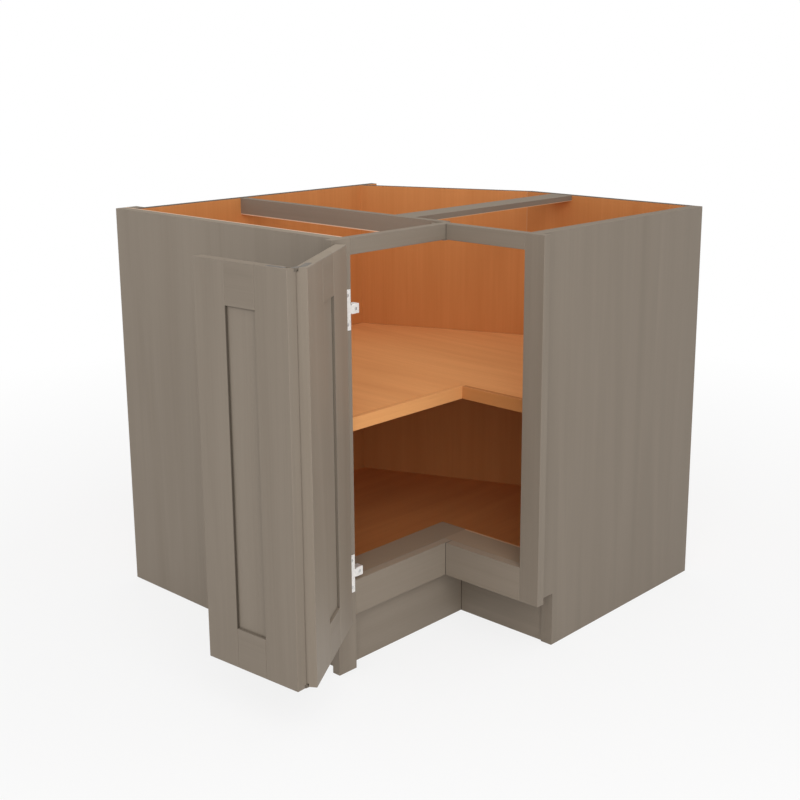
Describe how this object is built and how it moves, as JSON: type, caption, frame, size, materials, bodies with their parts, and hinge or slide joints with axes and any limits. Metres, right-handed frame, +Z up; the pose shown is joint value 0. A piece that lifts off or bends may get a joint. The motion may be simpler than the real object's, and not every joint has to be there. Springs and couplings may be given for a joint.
{
  "type": "corner base cabinet",
  "caption": "L-shaped corner kitchen base cabinet with an open top, a notched inner shelf, set-back kick boards and a folding shaker door hung on the left stile.",
  "frame": {"origin": "the room corner on the floor, where the two walls that the cabinet stands against meet", "axes": "+Z up, +X along the right wall away from the corner, -Y along the left wall away from the corner"},
  "size_m": [0.967, 1.1838, 0.8763],
  "materials": {
    "taupe_paint": "satin paint",
    "printed_wood": "satin wood print",
    "plain_board": "bare pine",
    "nickel": "satin nickel",
    "bright_steel": "zinc plate",
    "bronze": "bronze plate"
  },
  "bodies": {
    "base": {"left_end_panel": "taupe_paint", "right_end_panel": "taupe_paint", "left_kick_board": "taupe_paint", "right_kick_board": "taupe_paint", "left_ledge": "taupe_paint", "right_ledge": "taupe_paint", "left_stile": "taupe_paint", "right_stile": "taupe_paint", "left_top_rail": "taupe_paint", "right_top_rail": "taupe_paint", "left_bottom_rail": "taupe_paint", "right_bottom_rail": "taupe_paint", "left_back_batten": "taupe_paint", "left_stretcher": "taupe_paint", "right_brace": "taupe_paint", "corner_block": "taupe_paint", "left_back_panel": "printed_wood", "right_back_panel": "printed_wood", "diagonal_back_panel": "printed_wood", "floor_panel": "printed_wood", "shelf": "printed_wood", "shelf_left_edging": "printed_wood", "shelf_right_edging": "printed_wood", "hang_rail": "plain_board", "left_floor_cleat": "plain_board", "right_floor_cleat": "plain_board", "back_floor_cleat": "plain_board", "shelf_pegs": "bright_steel", "upper_hinge_frame_plate": "nickel", "lower_hinge_frame_plate": "nickel", "upper_hinge_block": "nickel", "lower_hinge_block": "nickel", "hinge_pins": "bright_steel", "frame_plate_screws": "bright_steel", "block_screws": "bright_steel"},
    "leaf_a": {"a_hinge_stile": "taupe_paint", "a_fold_stile": "taupe_paint", "a_top_rail": "taupe_paint", "a_bottom_rail": "taupe_paint", "a_panel": "taupe_paint", "upper_hinge_door_plate": "nickel", "lower_hinge_door_plate": "nickel", "door_plate_screws": "bright_steel", "upper_arm_a": "bronze", "lower_arm_a": "bronze", "fold_pins": "bronze", "arm_a_screws": "bronze"},
    "leaf_b": {"b_fold_stile": "taupe_paint", "b_free_stile": "taupe_paint", "b_top_rail": "taupe_paint", "b_bottom_rail": "taupe_paint", "b_panel": "taupe_paint", "upper_arm_b": "bronze", "lower_arm_b": "bronze", "arm_b_screws": "bronze"}
  },
  "joints": [
    {"name": "door_hinge", "type": "hinge", "parent": "base", "child": "leaf_a", "pos_m": [0.729, -0.9075, 0.4735], "axis": [0, 0, 1], "range_deg": [-15, 148]},
    {"name": "door_fold", "type": "hinge", "parent": "leaf_a", "child": "leaf_b", "pos_m": [0.86291, -1.14633, 0.492], "axis": [0, 0, 1], "range_deg": [-25, 28]}
  ]
}
